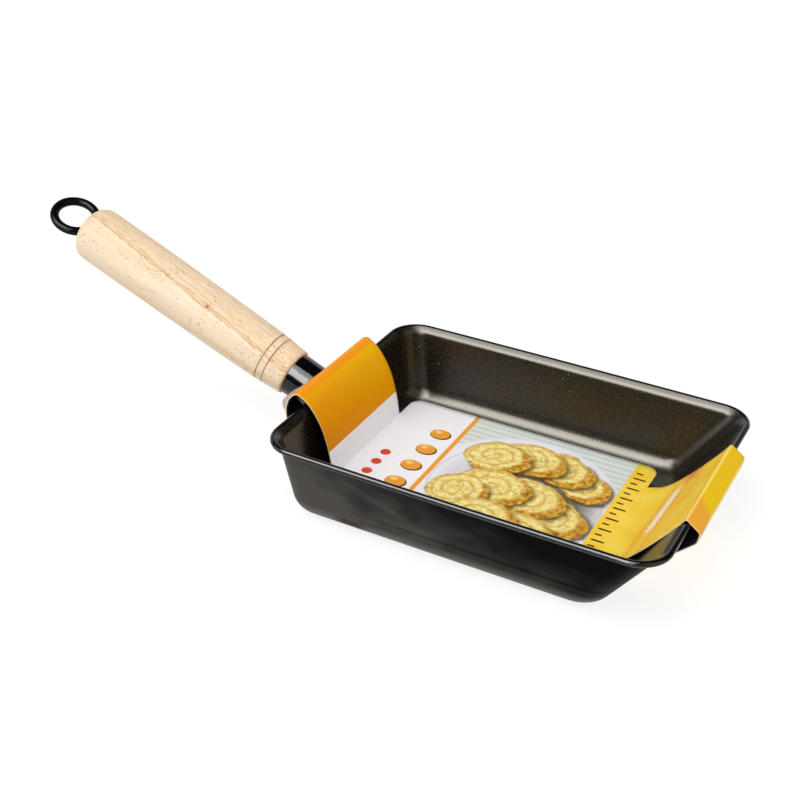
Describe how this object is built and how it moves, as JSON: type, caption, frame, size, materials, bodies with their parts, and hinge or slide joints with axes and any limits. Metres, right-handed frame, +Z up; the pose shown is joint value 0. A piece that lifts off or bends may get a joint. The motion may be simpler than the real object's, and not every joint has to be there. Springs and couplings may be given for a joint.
{
  "type": "rectangular omelette pan",
  "caption": "Rectangular coated steel omelette pan with a sloped far wall, a raised turned wooden handle with a hanging eye, and a printed card band round the pan.",
  "frame": {"origin": "centre of the rim, projected down to the plane of the pan's flat underside", "axes": "+Z up out of the pan, -X toward the handle, +Y across the pan"},
  "size_m": [0.3851, 0.15, 0.1029],
  "materials": {
    "pan_coating": "satin non-stick coating inside and heat-proof coating outside, on pressed steel",
    "black_paint": "gloss black stove enamel",
    "rivet_steel": "plain steel rivets",
    "bare_steel": "turned steel",
    "handle_wood": "sanded pale hardwood, thin clear lacquer",
    "zinc_steel": "zinc plated",
    "black_wire_paint": "gloss black enamel on wire",
    "printed_card": "printed coated card, satin"
  },
  "bodies": {
    "root": {"pan_body": "pan_coating", "neck_flange": "black_paint", "flange_rivets": "rivet_steel", "neck_tube": "black_paint", "neck_plug": "bare_steel", "wooden_handle": "handle_wood", "eye_washer": "zinc_steel", "hanging_rod": "black_wire_paint", "card_sleeve": "printed_card"}
  },
  "joints": []
}
